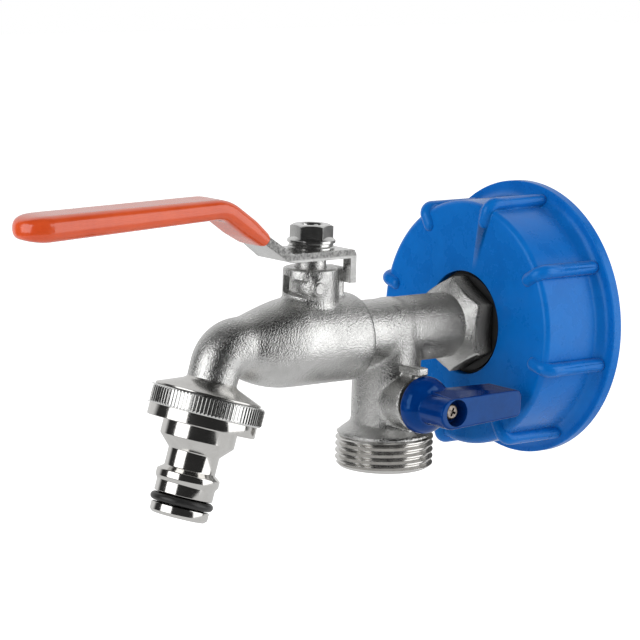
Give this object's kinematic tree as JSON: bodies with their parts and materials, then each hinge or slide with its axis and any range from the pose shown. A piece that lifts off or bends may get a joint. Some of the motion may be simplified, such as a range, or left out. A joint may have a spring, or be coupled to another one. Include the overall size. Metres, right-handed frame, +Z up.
{
  "type": "ibc tank valve",
  "caption": "Two-outlet ball tap on a swivelling screw cap for a liquid container: a lever works the bent spout with a hose nipple, a small side handle the threaded bottom outlet.",
  "frame": {"origin": "centre of the cap's mouth, on the axis of its thread", "axes": "+X leaves the mouth towards the container, +Z up along the main stem, the spout points along -X and the small handle stands on the -Y side"},
  "size_m": [0.1705, 0.076, 0.0837],
  "materials": {
    "cap_blue": "semi-gloss moulded",
    "black_plastic": "matt moulded",
    "black_rubber": "smooth",
    "cast_nickel": "sand cast, nickel plated",
    "turned_nickel": "turned, bright nickel",
    "ball_chrome": "polished",
    "seat_white": "smooth",
    "zinc_steel": "zinc plated",
    "grip_orange": "dipped, glossy",
    "handle_blue": "gloss lacquer",
    "screw_brass": "plain"
  },
  "bodies": {
    "tap": {"rear_body": "cast_nickel", "front_body": "cast_nickel", "front_seat": "seat_white", "rear_seat": "seat_white", "stem_retaining_pin": "turned_nickel", "outlet_upper_seat": "seat_white", "outlet_lower_seat": "seat_white", "outlet_seat_retainer": "turned_nickel", "outlet_gland": "turned_nickel", "hose_connector": "turned_nickel", "connector_washer": "black_rubber", "connector_o_ring": "black_rubber", "carrier_ring": "black_plastic", "inlet_washer": "black_rubber", "tank_seal": "black_rubber"},
    "lever_valve": {"main_ball": "ball_chrome", "main_stem": "turned_nickel", "stem_seal": "black_rubber", "lever": "zinc_steel", "lever_grip": "grip_orange", "lever_washer": "zinc_steel", "lever_spring_washer": "zinc_steel", "lever_nut": "zinc_steel"},
    "outlet_valve": {"outlet_ball": "ball_chrome", "outlet_stem": "turned_nickel", "outlet_stem_seal": "black_rubber", "outlet_handle": "handle_blue", "outlet_handle_screw": "screw_brass"},
    "cap": {"union_cap": "cap_blue"}
  },
  "joints": [
    {"name": "lever_turn", "type": "hinge", "parent": "tap", "child": "lever_valve", "pos_m": [-0.0777, 0, 0.0219], "axis": [0, 0, 1], "range_deg": [-90, 0]},
    {"name": "outlet_handle_turn", "type": "hinge", "parent": "tap", "child": "outlet_valve", "pos_m": [-0.0505, -0.0176, -0.0177], "axis": [0, 1, 0], "range_deg": [0, 90]},
    {"name": "cap_swivel", "type": "hinge", "parent": "tap", "child": "cap", "pos_m": [-0.0215, 0, 0], "axis": [1, 0, 0], "continuous": true}
  ]
}
